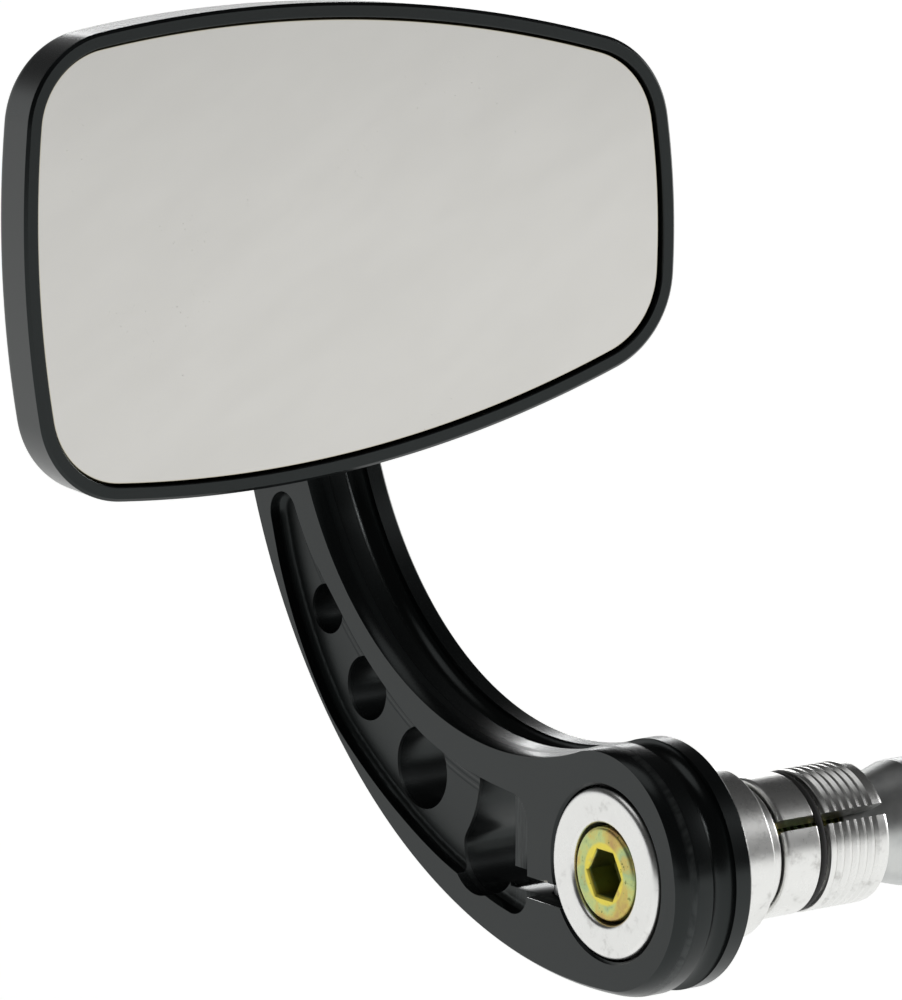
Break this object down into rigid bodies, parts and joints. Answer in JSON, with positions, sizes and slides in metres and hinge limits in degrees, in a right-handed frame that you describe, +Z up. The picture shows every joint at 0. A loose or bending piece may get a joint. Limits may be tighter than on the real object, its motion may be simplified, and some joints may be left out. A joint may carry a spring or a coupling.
{
  "type": "bar end mirror",
  "caption": "Left-hand rear-view mirror with a rounded head on a ball joint, a curved drilled arm and an expanding clamp for a handlebar's open end.",
  "frame": {"origin": "centre of the handlebar's end face, on the clamp's axis", "axes": "+X inboard along the handlebar, +Y forward and away from the rider, +Z up"},
  "size_m": [0.1107, 0.1197, 0.1286],
  "materials": {
    "black_anodised": "black anodised, satin, fine machining marks",
    "bright_aluminium": "turned and polished",
    "yellow_zinc": "yellow passivated zinc plate, mottled green and gold",
    "zinc_steel": "zinc plated",
    "mirror_glass": "silvered glass",
    "black_rubber": "matt",
    "nylon": "natural nylon",
    "foam_pad": "double-sided foam tape"
  },
  "bodies": {
    "bar_clamp": {"bar_end_bushing": "bright_aluminium", "lock_washer": "zinc_steel", "garter_ring": "black_rubber"},
    "clamp_screw": {"clamp_screw": "yellow_zinc"},
    "cone_nut": {"cone_nut": "zinc_steel"},
    "jaw_1": {"collet_jaw_1": "bright_aluminium"},
    "jaw_2": {"collet_jaw_2": "bright_aluminium"},
    "jaw_3": {"collet_jaw_3": "bright_aluminium"},
    "arm": {"arm": "black_anodised", "stud_washer": "zinc_steel"},
    "pinch_screw": {"pinch_screw": "zinc_steel"},
    "stud_nut": {"stud_nut": "zinc_steel"},
    "ball_stud": {"ball_stud": "zinc_steel"},
    "ball_cups": {"rear_cup": "nylon", "front_cup": "nylon"},
    "head": {"mirror_shell": "black_anodised", "mirror_glass": "mirror_glass", "adhesive_pad": "foam_pad", "retaining_ring": "black_anodised", "ring_screw_1": "zinc_steel", "ring_screw_2": "zinc_steel", "ring_screw_3": "zinc_steel", "ring_screw_4": "zinc_steel"}
  },
  "joints": [
    {"name": "arm_swing", "type": "hinge", "parent": "bar_clamp", "child": "arm", "pos_m": [-0.014, 0, 0], "axis": [1, 0, 0], "continuous": true},
    {"name": "clamp_screw_turn", "type": "hinge", "parent": "bar_clamp", "child": "clamp_screw", "pos_m": [-0.0203, 0, 0], "axis": [-1, 0, 0], "range_deg": [0, 540]},
    {"name": "cone_nut_slide", "type": "slide", "parent": "bar_clamp", "child": "cone_nut", "axis": [1, 0, 0], "range_m": [0, 0.00225]},
    {"name": "jaw_1_slide", "type": "slide", "parent": "bar_clamp", "child": "jaw_1", "axis": [0, 0, -1], "range_m": [0, 0.00065]},
    {"name": "jaw_2_slide", "type": "slide", "parent": "bar_clamp", "child": "jaw_2", "axis": [0, 0.866, 0.5], "range_m": [0, 0.00065]},
    {"name": "jaw_3_slide", "type": "slide", "parent": "bar_clamp", "child": "jaw_3", "axis": [0, -0.866, 0.5], "range_m": [0, 0.00065]},
    {"name": "pinch_screw_turn", "type": "hinge", "parent": "arm", "child": "pinch_screw", "pos_m": [-0.014, 0.0166, -0.0164], "axis": [0, 0, -1], "range_deg": [0, 360]},
    {"name": "stud_nut_turn", "type": "hinge", "parent": "arm", "child": "stud_nut", "pos_m": [-0.014, 0.0966, 0.07743], "axis": [0, 1, 0], "range_deg": [0, 360]},
    {"name": "stud_turn", "type": "hinge", "parent": "arm", "child": "ball_stud", "pos_m": [-0.014, 0.0808, 0.07743], "axis": [0, 1, 0], "range_deg": [-15, 15]},
    {"name": "head_tilt", "type": "hinge", "parent": "ball_stud", "child": "ball_cups", "pos_m": [-0.014, 0.07002, 0.07743], "axis": [1, 0, 0], "range_deg": [-9, 7]},
    {"name": "head_pan", "type": "hinge", "parent": "ball_cups", "child": "head", "pos_m": [-0.014, 0.07002, 0.07743], "axis": [0, 0, 1], "range_deg": [-10, 10]}
  ],
  "couplings": [
    {"joint": "cone_nut_slide", "follows": "clamp_screw_turn", "m_per_rad": 0.00019894},
    {"joint": "jaw_1_slide", "follows": "clamp_screw_turn", "m_per_rad": 0.00005637},
    {"joint": "jaw_2_slide", "follows": "clamp_screw_turn", "m_per_rad": 0.00005637},
    {"joint": "jaw_3_slide", "follows": "clamp_screw_turn", "m_per_rad": 0.00005637}
  ]
}
